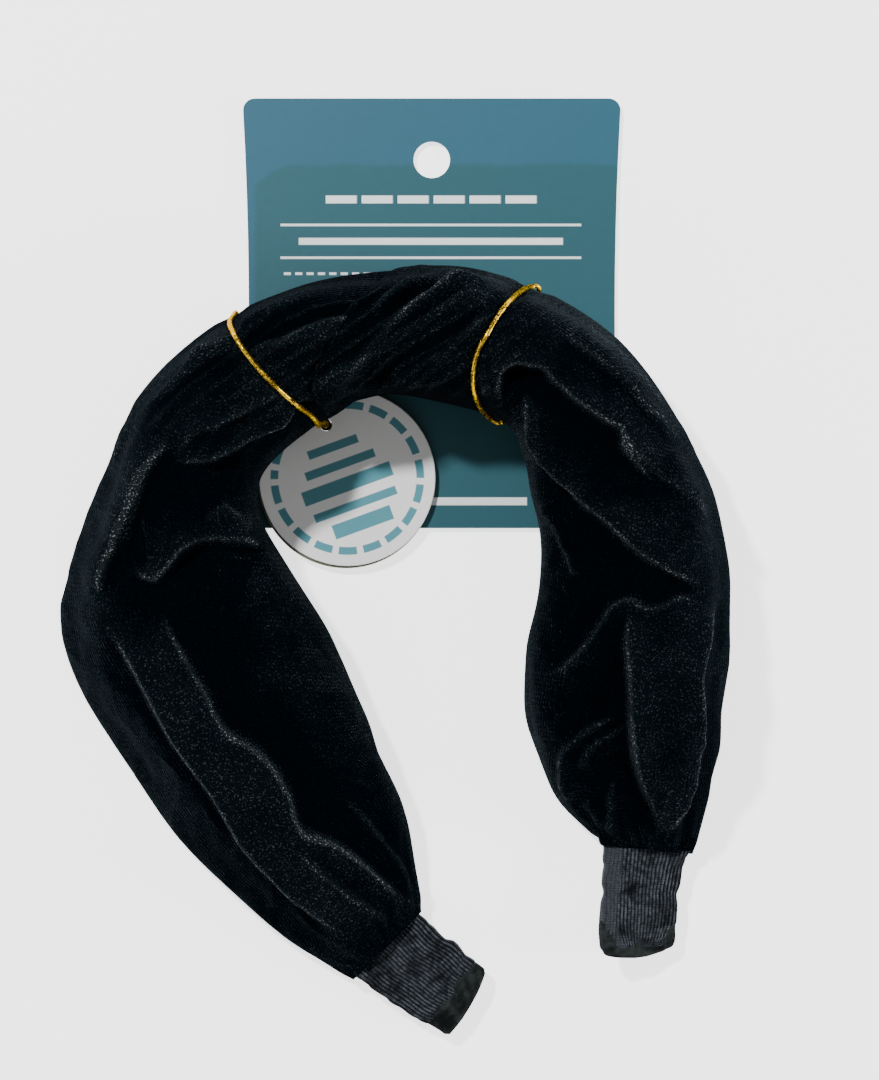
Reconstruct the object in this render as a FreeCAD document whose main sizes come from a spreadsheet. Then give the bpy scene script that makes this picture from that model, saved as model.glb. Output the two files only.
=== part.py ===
"""Twist headband in velvet, held to a header card by two elastic loops, with a round hang tag.

The set lies flat: +Z is up, +Y runs from the ends of the band to its crown and on to the
card's hang hole, and +X is to the right seen from above. The origin is on the surface that it
lies on, under the middle of the whole set. All sizes are in millimetres.

The hoop is described by stations. Each station is a section across the band: where its outer
edge is, where its inner edge is, and how low and how high it reaches. L0 to L7 run up the left
arm, C0 is the middle of the twist, and R7 to R0 run down the right arm. The hoop bends at L6
and R5, where the two arms spring open.
"""

import FreeCAD, Part, Sketcher
import math
import os

from FreeCAD import Placement, Rotation, Vector

UP = Vector(0, 0, 1)

# Points round a velvet section, and the power that makes its oval rounder (1) or boxier (0).
COVER_SIDES = 16
COVER_ROUNDNESS = 0.9

# Block that is taken off an arm at its hinge: how far it reaches to the sides, how far it goes
# back over the hinge line, and how far it goes below and above it.
NOTCH_REACH = 70
NOTCH_OVERLAP = 2
NOTCH_DEPTH = 40

# Driving dimensions.
SIZES = {
    "card_width": 83.2,
    "card_height": 94.4,
    "card_thickness": 0.45,
    "card_waist": 1.4,
    "card_corner": 2.6,
    "card_centre_x": 7.5,
    "card_centre_y": 55.2,
    "card_bottom": 1.0,
    "hang_hole_radius": 4.0,
    "hang_hole_y": 88.9,
    "loop_hole_radius": 1.3,
    "left_upper_x": -30.0,
    "left_upper_y": 51.8,
    "left_lower_x": -15.7,
    "left_lower_y": 30.6,
    "right_upper_x": 29.4,
    "right_upper_y": 56.6,
    "right_lower_x": 24.4,
    "right_lower_y": 34.6,
    "barb_length": 8.0,
    "barb_width": 1.8,
    "barb_corner": 0.6,
    "elastic_radius": 0.6,
    "tag_radius": 19.3,
    "tag_ply": 0.75,
    "tag_bottom": 1.8,
    "tag_centre_x": -11.0,
    "tag_centre_y": 19.0,
    "core_thickness": 1.6,
    "sleeve_wall": 0.7,
    "hem_length": 3.0,
    "hem_wall": 1.3,
    "cap_length": 4.0,
    "cap_wall": 0.55,
    "hem_setback": 0.9,
    "joint_gap": 0.6,
    "open_angle": 16.0,
    "close_angle": 6.0,
    "angle_margin": 0.8,
}

# Velvet sections: outer edge x, y, inner edge x, y, lowest z, highest z.
STATIONS = {
    "L0": (-9.7, -91.0, 5.2, -75.9, 0.8, 9.4),
    "L1": (-21.2, -83.9, 2.8, -59.9, 0.4, 16.0),
    "L2": (-42.7, -65.0, -0.4, -46.6, 0.1, 25.0),
    "L3": (-62.1, -37.9, -5.8, -33.5, 0.1, 29.0),
    "L4": (-72.4, -16.2, -13.4, -16.2, 0.1, 30.0),
    "L5": (-68.5, 4.3, -31.3, 8.6, 0.5, 32.0),
    "L6": (-57.6, 31.3, -30.0, 17.9, 2.0, 33.0),
    "L7": (-36.2, 53.2, -16.6, 31.3, 2.0, 34.0),
    "C0": (-0.4, 64.0, -2.5, 37.1, 2.0, 34.0),
    "R7": (30.9, 60.8, 23.1, 30.8, 2.0, 34.0),
    "R6": (48.1, 48.5, 26.5, 26.9, 2.0, 33.0),
    "R5": (63.2, 24.8, 28.7, 18.3, 2.0, 32.0),
    "R4": (70.2, 3.2, 31.6, 1.1, 2.0, 31.0),
    "R3": (72.2, -16.2, 28.3, -18.4, 0.3, 30.0),
    "R2": (70.4, -35.8, 29.0, -36.4, 0.3, 26.0),
    "R1": (67.2, -50.1, 35.4, -51.2, 0.4, 18.0),
    "R0": (64.6, -63.4, 44.7, -60.4, 0.8, 10.4),
}

# Core strip: how far it sits outside the section's middle, its lean from upright, its width.
CORE = {
    "L0": (0.0, 88.0, 15.4),
    "L1": (3.0, 75.0, 17.0),
    "L2": (8.0, 60.0, 18.0),
    "L3": (14.0, 45.0, 19.0),
    "L4": (16.0, 30.0, 19.5),
    "L5": (9.5, 15.0, 20.0),
    "L6": (8.0, 5.0, 20.0),
    "L7": (8.0, 0.0, 20.0),
    "C0": (7.5, 0.0, 20.0),
    "R7": (8.5, 0.0, 20.0),
    "R6": (8.5, 5.0, 20.0),
    "R5": (9.0, 10.0, 20.0),
    "R4": (10.0, 20.0, 19.5),
    "R3": (11.0, 34.0, 19.0),
    "R2": (8.0, 48.0, 18.0),
    "R1": (3.0, 64.0, 17.0),
    "R0": (0.0, 80.0, 15.4),
}

# End tabs beyond the velvet: middle x, y, z, heading in degrees from +X, lean, core width.
TABS = {
    "left": [
        (-2.2, -83.4, 5.1, -45.4, 88.0, 15.4),
        (6.2, -89.9, 4.4, -36.0, 87.0, 15.2),
        (14.4, -95.4, 4.0, -30.0, 86.0, 15.0),
    ],
    "right": [
        (54.6, -61.9, 5.6, -98.6, 80.0, 15.4),
        (52.9, -72.6, 6.0, -95.0, 72.0, 15.2),
        (52.0, -82.2, 6.4, -94.0, 66.0, 15.0),
    ],
}

# Routes of the gold elastic, from the back of the card, over the velvet and back.
LOOPS = {
    "left": [
        (-30.0, 51.8, 1.0),
        (-30.0, 51.8, 3.2),
        (-33.3, 55.2, 6.4),
        (-37.3, 57.6, 12.0),
        (-38.8, 57.4, 20.0),
        (-37.8, 54.0, 28.4),
        (-34.4, 48.8, 34.2),
        (-29.0, 42.0, 36.3),
        (-23.4, 36.2, 35.0),
        (-18.6, 31.6, 29.6),
        (-15.4, 28.9, 21.0),
        (-15.3, 29.5, 11.0),
        (-15.7, 30.6, 6.0),
        (-15.7, 30.6, 1.0),
    ],
    "right": [
        (29.4, 56.6, 1.0),
        (29.4, 56.6, 3.2),
        (30.3, 60.8, 6.2),
        (31.6, 63.8, 12.0),
        (31.2, 64.6, 20.0),
        (28.4, 62.2, 28.0),
        (23.8, 56.4, 33.4),
        (19.0, 49.6, 36.3),
        (16.4, 42.4, 35.8),
        (15.8, 36.2, 31.8),
        (17.6, 31.6, 25.4),
        (21.2, 28.8, 17.4),
        (23.6, 29.6, 9.6),
        (24.4, 34.6, 3.2),
        (24.4, 34.6, 1.0),
    ],
}

doc = FreeCAD.newDocument("Headband")
sheet = doc.addObject("Spreadsheet::Sheet", "Sizes")


def fill_sheet():
    """One row per size: its name beside its value, which has that name as its alias."""
    rows = dict(SIZES)
    station_words = ("outer_x", "outer_y", "inner_x", "inner_y", "low", "high")
    core_words = ("core_out", "core_lean", "core_width")
    for name, values in STATIONS.items():
        for word, value in zip(station_words, values):
            rows[f"station_{name}_{word}"] = value
    for name, values in CORE.items():
        for word, value in zip(core_words, values):
            rows[f"station_{name}_{word}"] = value
    for row, (alias, value) in enumerate(rows.items(), start=1):
        sheet.set(f"A{row}", alias)
        sheet.set(f"B{row}", str(value))
        sheet.setAlias(f"B{row}", alias)
    doc.recompute()


def size(alias):
    return float(sheet.get(alias))


def solid_feature(label, shape):
    """A document object that holds a shape made with Part's own functions."""
    feature = doc.addObject("Part::Feature", label)
    feature.Label = label
    feature.Shape = shape
    feature.Placement = Placement()
    return feature


def cut(label, base, tool):
    feature = doc.addObject("Part::Cut", label)
    feature.Label = label
    feature.Base = base
    feature.Tool = tool
    return feature


class Section:
    """A station across the band, read from the sheet."""

    def __init__(self, name):
        def read(word):
            return size(f"station_{name}_{word}")

        outer = Vector(read("outer_x"), read("outer_y"), 0)
        inner = Vector(read("inner_x"), read("inner_y"), 0)
        low = read("low")
        high = read("high")
        self.middle = (outer + inner) * 0.5 + UP * (0.5 * (low + high))
        self.inward = (inner - outer).normalize()
        self.half_width = 0.5 * (inner - outer).Length
        self.half_height = 0.5 * (high - low)
        self.core_middle = self.middle - self.inward * read("core_out")
        self.core_lean = read("core_lean")
        self.core_width = read("core_width")

    def corners(self):
        """Points round the closed, slightly squared oval of the velvet at this station."""
        points = []
        for step in range(COVER_SIDES):
            turn = math.radians(360 / COVER_SIDES * step)
            across = math.copysign(abs(math.cos(turn)) ** COVER_ROUNDNESS, math.cos(turn))
            rise = math.copysign(abs(math.sin(turn)) ** COVER_ROUNDNESS, math.sin(turn))
            points.append(
                self.middle
                + self.inward * (self.half_width * across)
                + UP * (self.half_height * rise)
            )
        return points


def strip_corners(middle, inward, lean, width, thickness):
    """The corners of a flat strip's section. At lean 0 it stands on edge, at 90 it lies flat."""
    angle = math.radians(lean)
    across = UP * math.cos(angle) + inward * math.sin(angle)
    normal = UP * math.sin(angle) - inward * math.cos(angle)
    return [
        middle + across * (side * width / 2) + normal * (face * thickness / 2)
        for side, face in ((-1, -1), (1, -1), (1, 1), (-1, 1))
    ]


def core_corners(name):
    """The core's section at a station."""
    section = Section(name)
    return strip_corners(
        section.core_middle,
        section.inward,
        section.core_lean,
        section.core_width,
        size("core_thickness"),
    )


def tab_corners(side, place, extra):
    """The core's section at a place on an end tab, grown by extra on every side."""
    x, y, z, heading, lean, width = place
    turn = math.radians(heading)
    left_of_heading = Vector(-math.sin(turn), math.cos(turn), 0)
    inward = left_of_heading if side == "left" else left_of_heading * -1
    return strip_corners(
        Vector(x, y, z), inward, lean, width + 2 * extra, size("core_thickness") + 2 * extra
    )


def along(place, distance):
    """The same place moved along its heading."""
    turn = math.radians(place[3])
    return (
        place[0] + distance * math.cos(turn),
        place[1] + distance * math.sin(turn),
        *place[2:],
    )


def skin(sections):
    """A solid through sections of equally many corners: smooth edges, ruled faces, flat ends."""
    edges = []
    for line in zip(*sections):
        curve = Part.BSplineCurve()
        curve.interpolate(list(line))
        edges.append(curve.toShape())
    faces = [Part.makeRuledSurface(edges[i - 1], edges[i]) for i in range(len(edges))]
    for corners in (sections[0], sections[-1]):
        faces.append(Part.Face(Part.makePolygon([*corners, corners[0]])))
    shell = Part.makeShell(faces)
    shell.sewShape()
    solid = Part.makeSolid(shell)
    if solid.Volume < 0:
        solid.reverse()
    return solid


def cover(names):
    """The puffy outside of the velvet through a run of stations."""
    return skin([Section(name).corners() for name in names])


def flex_notch(name):
    """The wedge taken off an arm where it meets the crown, so that it can spring both ways."""
    section = Section(name)
    pivot = section.core_middle
    outward = section.inward * -1
    down_arm = UP.cross(outward) if name.startswith("L") else outward.cross(UP)
    gap = size("joint_gap")
    margin = size("angle_margin")
    reach = NOTCH_REACH
    opening = reach * math.tan(math.radians(size("open_angle") + margin))
    closing = reach * math.tan(math.radians(size("close_angle") + margin))
    start = -NOTCH_OVERLAP

    def at(step, out):
        return pivot + down_arm * step + outward * out - UP * NOTCH_DEPTH

    corners = [
        at(start, reach),
        at(gap + opening, reach),
        at(gap, 0),
        at(gap + closing, -reach),
        at(start, -reach),
        at(start, reach),
    ]
    return Part.Face(Part.makePolygon(corners)).extrude(UP * 2 * NOTCH_DEPTH)


ARM_STATIONS = {
    "left": ("L6", "L5", "L4", "L3", "L2", "L1", "L0"),
    "right": ("R5", "R4", "R3", "R2", "R1", "R0"),
}
CROWN_STATIONS = ("L6", "L7", "C0", "R7", "R6", "R5")


def make_crown():
    """The middle of the band, which stays with the card: the core's bend and the twist."""
    core = solid_feature("core_crown", skin([core_corners(n) for n in CROWN_STATIONS]))
    blank = solid_feature("crown_blank", cover(CROWN_STATIONS))
    cut("velvet_twist", blank, core)


def make_arm(side):
    """One springy arm: its core, its wide soft cover and the finished end."""
    names = ARM_STATIONS[side]
    places = TABS[side]
    last = places[-1]
    sections = [core_corners(n) for n in names[:-1]]
    sections += [tab_corners(side, place, 0) for place in places]
    core = solid_feature(f"{side}_core_blank", skin(sections))
    notch = solid_feature(f"{side}_notch", flex_notch(names[0]))
    cut(f"core_{side}_arm", core, notch)

    hollows = doc.addObject("Part::MultiFuse", f"{side}_hollows")
    hollows.Shapes = [core, notch]
    cut(f"velvet_{side}_arm", solid_feature(f"{side}_blank", cover(names)), hollows)

    wall = size("sleeve_wall")
    start = along(places[0], size("hem_setback"))
    sleeve = solid_feature(
        f"{side}_sleeve_blank",
        skin([tab_corners(side, place, wall) for place in (start, places[1], last)]),
    )
    cut(f"{side}_ribbed_sleeve", sleeve, core)

    def band(label, at, reach, thickness):
        """A short tight band round the sleeve, such as the hem or the fold at the tip."""
        ends = [tab_corners(side, along(at, step), wall + thickness) for step in reach]
        cut(label, solid_feature(f"{label}_blank", skin(ends)), sleeve)

    band(f"{side}_gathered_hem", start, (0, size("hem_length")), size("hem_wall"))
    cap_wall = size("cap_wall")
    band(f"{side}_tip_fold", last, (-size("cap_length"), cap_wall), cap_wall)


def sketch_on_floor(body, name):
    """A sketch on a body's own XY plane."""
    sketch = body.newObject("Sketcher::SketchObject", name)
    plane = next(f for f in body.Origin.OriginFeatures if f.Role == "XY_Plane")
    sketch.AttachmentSupport = [(plane, "")]
    sketch.MapMode = "FlatFace"
    return sketch


def add_circle(sketch, x, y, radius):
    """A circle whose place and radius are bound to the sheet by the names given."""
    values = [size(word) for word in (x, y, radius)]
    index = sketch.addGeometry(
        Part.Circle(Vector(values[0], values[1], 0), UP, values[2]), False
    )
    for kind, word, value in (
        ("DistanceX", x, values[0]),
        ("DistanceY", y, values[1]),
        ("Radius", radius, values[2]),
    ):
        if kind == "Radius":
            number = sketch.addConstraint(Sketcher.Constraint(kind, index, value))
        else:
            number = sketch.addConstraint(Sketcher.Constraint(kind, -1, 1, index, 3, value))
        sketch.setExpression(f"Constraints[{number}]", f"Sizes.{word}")


def pad(body, sketch, length):
    feature = body.newObject("PartDesign::Pad", f"{body.Name}_pad")
    feature.Profile = sketch
    feature.setExpression("Length", length)
    return feature


def drill(body, name, circles):
    """Cuts round holes straight through, upwards from the body's lower face."""
    sketch = sketch_on_floor(body, f"{name}_circles")
    for circle in circles:
        add_circle(sketch, *circle)
    pocket = body.newObject("PartDesign::Pocket", name)
    pocket.Profile = sketch
    pocket.Type = 1
    pocket.Reversed = True
    doc.recompute()
    return pocket


def make_card():
    """The header card: rounded, slightly waisted where the band crosses it, and drilled."""
    body = doc.addObject("PartDesign::Body", "header_card")
    body.Label = "header_card"
    outline = sketch_on_floor(body, "card_outline")
    left = size("card_centre_x") - size("card_width") / 2
    right = left + size("card_width")
    bottom = size("card_centre_y") - size("card_height") / 2
    top = bottom + size("card_height")
    waist = size("card_waist")
    middle = size("card_centre_y")
    corners = [Vector(x, y, 0) for x, y in ((left, top), (right, top), (right, bottom), (left, bottom))]
    outline.addGeometry(Part.LineSegment(corners[0], corners[1]), False)
    outline.addGeometry(Part.Arc(corners[1], Vector(right - waist, middle, 0), corners[2]), False)
    outline.addGeometry(Part.LineSegment(corners[2], corners[3]), False)
    outline.addGeometry(Part.Arc(corners[3], Vector(left + waist, middle, 0), corners[0]), False)
    block = pad(body, outline, "Sizes.card_thickness")
    doc.recompute()
    upright = [
        f"Edge{i}"
        for i, edge in enumerate(block.Shape.Edges, start=1)
        if abs(edge.tangentAt(edge.FirstParameter).z) > 0.9
    ]
    rounded = body.newObject("PartDesign::Fillet", "card_corners")
    rounded.Base = (block, upright)
    rounded.setExpression("Radius", "Sizes.card_corner")
    doc.recompute()
    before = body.Shape.Volume
    circles = [("card_centre_x", "hang_hole_y", "hang_hole_radius")]
    for end in ("left_upper", "left_lower", "right_upper", "right_lower"):
        circles.append((f"{end}_x", f"{end}_y", "loop_hole_radius"))
    drill(body, "card_holes", circles)
    if not body.Shape.Volume < before:
        raise RuntimeError("the card's holes cut nothing")
    body.setExpression("Placement.Base.z", "Sizes.card_bottom")


def make_tag():
    """The round hang tag: a printed front ply glued to a plain back ply, with one hole."""
    for level, label in enumerate(("tag_back_ply", "tag_front_ply")):
        body = doc.addObject("PartDesign::Body", label)
        body.Label = label
        disc = sketch_on_floor(body, f"{label}_disc")
        add_circle(disc, "tag_centre_x", "tag_centre_y", "tag_radius")
        pad(body, disc, "Sizes.tag_ply")
        doc.recompute()
        drill(body, f"{label}_hole", [("left_lower_x", "left_lower_y", "loop_hole_radius")])
        body.setExpression("Placement.Base.z", f"Sizes.tag_bottom + {level} * Sizes.tag_ply")


def make_barbs():
    """The flat metal bars that hold the ends of the elastic behind the card."""
    turns = {"left_upper": 40, "left_lower": -20, "right_upper": 10, "right_lower": -35}
    for end, turn in turns.items():
        block = doc.addObject("Part::Box", f"{end}_bar")
        block.setExpression("Length", "Sizes.barb_length")
        block.setExpression("Width", "Sizes.barb_width")
        block.setExpression("Height", "Sizes.card_bottom")
        doc.recompute()
        rounded = doc.addObject("Part::Fillet", f"{end}_barb")
        rounded.Label = f"{end}_barb"
        rounded.Base = block
        radius = size("barb_corner")
        rounded.Edges = [
            (i, radius, radius)
            for i, edge in enumerate(block.Shape.Edges, start=1)
            if abs(edge.tangentAt(edge.FirstParameter).z) > 0.9
        ]
        spin = Rotation(UP, turn)
        half = Vector(size("barb_length") / 2, size("barb_width") / 2, 0)
        place = Vector(size(f"{end}_x"), size(f"{end}_y"), 0)
        rounded.Placement = Placement(place - spin.multVec(half), spin)


def rounded_route(points):
    """Straight runs joined by tangent arcs, each as large as its two runs allow."""
    points = [Vector(*p) for p in points]
    edges = []
    radii = []
    at = points[0]
    for before, corner, after in zip(points, points[1:], points[2:]):
        into = (corner - before).normalize()
        away = (after - corner).normalize()
        turn = math.acos(max(-1.0, min(1.0, into.dot(away))))
        trim = 0.45 * min((corner - before).Length, (after - corner).Length)
        start = corner - into * trim
        end = corner + away * trim
        radius = trim / math.tan(turn / 2)
        bulge = corner + (away - into).normalize() * (radius / math.cos(turn / 2) - radius)
        edges.append(Part.LineSegment(at, start).toShape())
        edges.append(Part.Arc(start, bulge, end).toShape())
        radii.append(round(radius, 1))
        at = end
    edges.append(Part.LineSegment(at, points[-1]).toShape())
    return Part.Wire(edges), radii


def make_loops():
    """The two gold elastic loops, each a round cord swept along its route."""
    for side, points in LOOPS.items():
        wire, radii = rounded_route(points)
        print(side, "loop radii", radii, "length", round(wire.Length, 1))
        spine = solid_feature(f"{side}_loop_route", wire)
        ring = doc.addObject("Part::Circle", f"{side}_loop_section")
        ring.setExpression("Radius", "Sizes.elastic_radius")
        first = Vector(*points[1]) - Vector(*points[0])
        ring.Placement = Placement(Vector(*points[0]), Rotation(UP, first))
        sweep = doc.addObject("Part::Sweep", f"{side}_elastic_loop")
        sweep.Label = f"{side}_elastic_loop"
        sweep.Sections = [ring]
        sweep.Spine = (spine, [f"Edge{i + 1}" for i in range(len(wire.Edges))])
        sweep.Solid = True
        sweep.Frenet = False
        doc.recompute()
        expected = math.pi * size("elastic_radius") ** 2 * wire.Length
        print(side, "loop volume over section times length", round(sweep.Shape.Volume / expected, 3))


NODES = [
    "header_card",
    "tag_back_ply",
    "tag_front_ply",
    "left_elastic_loop",
    "right_elastic_loop",
    "left_upper_barb",
    "left_lower_barb",
    "right_upper_barb",
    "right_lower_barb",
    "core_crown",
    "core_left_arm",
    "core_right_arm",
    "velvet_twist",
    "velvet_left_arm",
    "velvet_right_arm",
    "left_gathered_hem",
    "right_gathered_hem",
    "left_ribbed_sleeve",
    "right_ribbed_sleeve",
    "left_tip_fold",
    "right_tip_fold",
]


def export_nodes():
    """Checks every object and every sub-part, then writes one STEP file per sub-part."""
    doc.recompute()
    failed = [o.Name for o in doc.Objects if "Invalid" in o.State or "Error" in o.State]
    if failed:
        raise RuntimeError(f"failed objects: {failed}")
    shapes = {}
    for label in NODES:
        shape = doc.getObjectsByLabel(label)[0].Shape
        if shape.isNull() or not shape.isValid() or not shape.Solids:
            raise RuntimeError(f"{label} has no valid solid")
        shapes[label] = shape
    os.makedirs("parts", exist_ok=True)
    for label, shape in shapes.items():
        shape.exportStep(f"parts/{label}.step")
        box = shape.optimalBoundingBox(False)
        print(
            f"{label:22s} solids {len(shape.Solids)} volume {shape.Volume:9.1f}"
            f"  x {box.XMin:6.1f} {box.XMax:6.1f}  y {box.YMin:6.1f} {box.YMax:6.1f}"
            f"  z {box.ZMin:5.2f} {box.ZMax:5.2f}"
        )


fill_sheet()
make_card()
make_tag()
make_barbs()
make_crown()
for arm in ("left", "right"):
    make_arm(arm)
make_loops()
export_nodes()
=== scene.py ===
"""The looks of the velvet twist headband on its header card.

The set lies on a pale floor and is seen from straight above. Lengths in the tables are in
millimetres and become metres when a mesh is made. The band is a run of stations, as in the CAD:
each says where the outer and the inner edge of the velvet are and how low and high it reaches.
Folds of the velvet are lines drawn over its upper side, raised on one side and hollow on the
other, and every gathered or twisted stretch is worked out from the stations.
"""

import math

import bpy
import numpy as np
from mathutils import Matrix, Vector
from mathutils.bvhtree import BVHTree


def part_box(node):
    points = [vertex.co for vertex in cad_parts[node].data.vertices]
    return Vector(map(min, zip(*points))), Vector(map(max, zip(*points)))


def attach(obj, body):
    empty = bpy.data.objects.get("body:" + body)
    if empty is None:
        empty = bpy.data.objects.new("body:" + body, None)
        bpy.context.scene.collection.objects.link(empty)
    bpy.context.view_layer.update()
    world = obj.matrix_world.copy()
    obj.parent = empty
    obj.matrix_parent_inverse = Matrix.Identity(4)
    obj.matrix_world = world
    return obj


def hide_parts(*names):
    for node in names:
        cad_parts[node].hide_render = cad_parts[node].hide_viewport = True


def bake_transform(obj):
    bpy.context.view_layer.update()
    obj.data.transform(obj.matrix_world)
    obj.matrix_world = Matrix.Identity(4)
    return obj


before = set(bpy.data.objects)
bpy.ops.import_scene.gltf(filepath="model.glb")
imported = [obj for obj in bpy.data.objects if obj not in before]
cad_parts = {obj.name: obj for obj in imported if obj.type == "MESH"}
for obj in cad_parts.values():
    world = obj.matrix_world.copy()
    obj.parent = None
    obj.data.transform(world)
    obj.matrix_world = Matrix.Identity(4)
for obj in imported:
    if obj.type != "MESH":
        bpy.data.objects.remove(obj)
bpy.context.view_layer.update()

MM = 0.001
CAMERA_AT = (9.2, 5.4, 880.0)
VIEW_HEIGHT = 237.6  # how much of the floor the picture shows from top to bottom

# Outer edge x, y, inner edge x, y, lowest z, highest z and how far the steep outer wall reaches
# inwards, from the left end round to the right end.
STATIONS = [
    (-9.7, -91.0, 5.2, -75.9, 0.6, 8.6, 9.0),
    (-21.2, -83.9, 2.8, -59.9, 0.3, 15.5, 9.0),
    (-42.7, -65.0, -1.3, -46.9, 0.3, 24.0, 9.0),
    (-62.3, -38.0, -6.8, -33.5, 0.3, 28.5, 9.0),
    (-73.0, -16.6, -14.5, -15.6, 0.3, 30.0, 9.0),
    (-69.6, 4.6, -28.6, 8.2, 0.6, 32.0, 8.0),
    (-58.5, 31.7, -30.0, 17.9, 1.8, 33.0, 5.0),
    (-36.7, 54.1, -16.6, 30.6, 1.8, 34.0, 4.0),
    (-0.4, 64.0, -2.5, 37.1, 1.8, 34.0, 4.0),
    (30.4, 59.6, 23.1, 30.8, 1.8, 34.0, 4.0),
    (48.1, 48.5, 26.5, 26.9, 1.8, 33.0, 4.0),
    (64.2, 25.2, 28.7, 18.3, 1.8, 32.0, 5.0),
    (71.6, 3.4, 31.6, 1.1, 1.8, 31.0, 6.5),
    (72.2, -16.2, 28.3, -18.4, 0.3, 30.0, 7.0),
    (70.4, -35.8, 29.0, -36.4, 0.3, 26.0, 7.0),
    (67.8, -50.1, 35.4, -51.2, 0.3, 17.0, 7.0),
    (64.6, -63.4, 44.7, -60.4, 0.6, 9.0, 7.0),
]
LEFT_END, TWIST, RIGHT_END = 0, 8, 16

# Folds on the upper side: route, height, how far it runs out, and which side is raised
# (+1 is the left-hand side along the route).
LEFT_FOLDS = [
    # Outer crease.
    (
        [(-62.5, -12), (-56, -22.5), (-48.5, -36), (-39.5, -49), (-34, -59), (-26.5, -67.5),
         (-17.5, -76.5), (-10.5, -82)],
        3.0, 6, 1,
    ),
    # Long wavy fold.
    (
        [(-50, -8.5), (-45, -18.5), (-40.5, -26), (-35.5, -35), (-29.5, -39), (-25.5, -43.5),
         (-22.5, -49), (-20, -56), (-14.5, -58.5), (-9, -62.5), (-4.5, -66.5), (0, -71),
         (4.5, -75)],
        3.0, 7, -1,
    ),
    ([(-11, -49), (-5.5, -55.5), (-0.5, -62.5), (4, -71)], 1.8, 3.5, -1),
    ([(-21, -60), (-14.5, -66.5), (-7.5, -72.5), (-1, -77.5)], 1.6, 4, -1),
    # Transverse fold.
    (
        [(-56.5, -1), (-53.5, -3), (-51.5, -3.5), (-48.5, -1), (-45.5, 3), (-41.5, 5), (-37, 5),
         (-31.5, 4), (-28, 3)],
        3.2, 6, 1,
    ),
    # Outer ridge.
    (
        [(-47, 26), (-49, 24), (-52, 20), (-54.5, 14.5), (-56.5, 9.5), (-58.5, 4), (-61.5, -2),
         (-63.5, -7.5)],
        3.0, 4.5, -1,
    ),
    ([(-50.5, 22.5), (-53, 16.5), (-55, 10), (-56.5, 5), (-58, 0.5)], 1.6, 2.5, -1),
    (
        [(-33, 47), (-40, 43), (-45.5, 39), (-50, 35.5), (-55, 30.5), (-58, 27), (-62, 20)],
        2.0, 3.0, -1,
    ),
    (
        [(-34.5, 48), (-38.5, 45.5), (-44.5, 42.5), (-50, 39), (-53.5, 34.5), (-57.5, 29)],
        1.6, 2.5, -1,
    ),
    ([(-34, 47.5), (-28.5, 50.5), (-24, 54.5), (-19.5, 56), (-14, 58)], 1.8, 3, 1),
    # Broad roll.
    ([(-32.5, 45), (-29.5, 46.5), (-25, 48), (-19.5, 50.5), (-15, 52), (-9, 53.5)], 2.4, 4, -1),
    # Lower roll.
    (
        [(-47, 22), (-44, 21.5), (-40, 22), (-34.5, 24.5), (-29.5, 27.5), (-24, 30),
         (-18.5, 32.5), (-15, 34.5)],
        3.0, 5, 1,
    ),
    ([(-45.5, 23.5), (-43, 27), (-38.5, 29), (-32.5, 32), (-27, 34.5), (-22.5, 36.5)], 1.8, 3, 1),
    ([(-33, 9), (-35, 11.5), (-37, 13), (-39, 12), (-41.5, 10)], 1.6, 3, 1),
    ([(-27.5, 45.5), (-22, 48), (-16, 50), (-10.5, 53), (-5.5, 57)], 1.8, 3, -1),
]
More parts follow.
